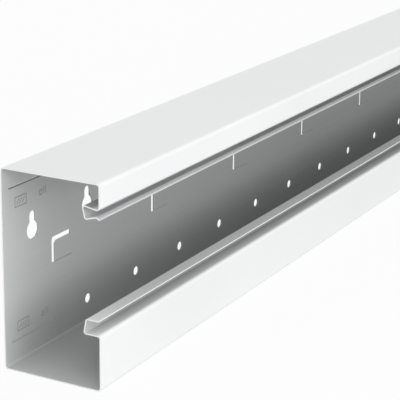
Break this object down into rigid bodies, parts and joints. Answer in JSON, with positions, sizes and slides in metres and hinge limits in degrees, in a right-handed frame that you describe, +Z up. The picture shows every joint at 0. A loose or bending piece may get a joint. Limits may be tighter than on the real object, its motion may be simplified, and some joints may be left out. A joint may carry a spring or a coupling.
{
  "type": "dado trunking",
  "caption": "Sheet steel dado trunking base: an open-fronted wall channel for cables, with folded lips for a clip-on cover and rows of keyholes and screw holes.",
  "frame": {"origin": "middle of the underside, halfway along the length and halfway between the front face and the wall side", "axes": "+X along the length, +Y from the open front towards the wall, +Z up"},
  "size_m": [2, 0.07, 0.13],
  "materials": {
    "coated_steel": "satin white coating outside, matt grey primer inside"
  },
  "bodies": {
    "root": {"trunking_base": "coated_steel"}
  },
  "joints": []
}
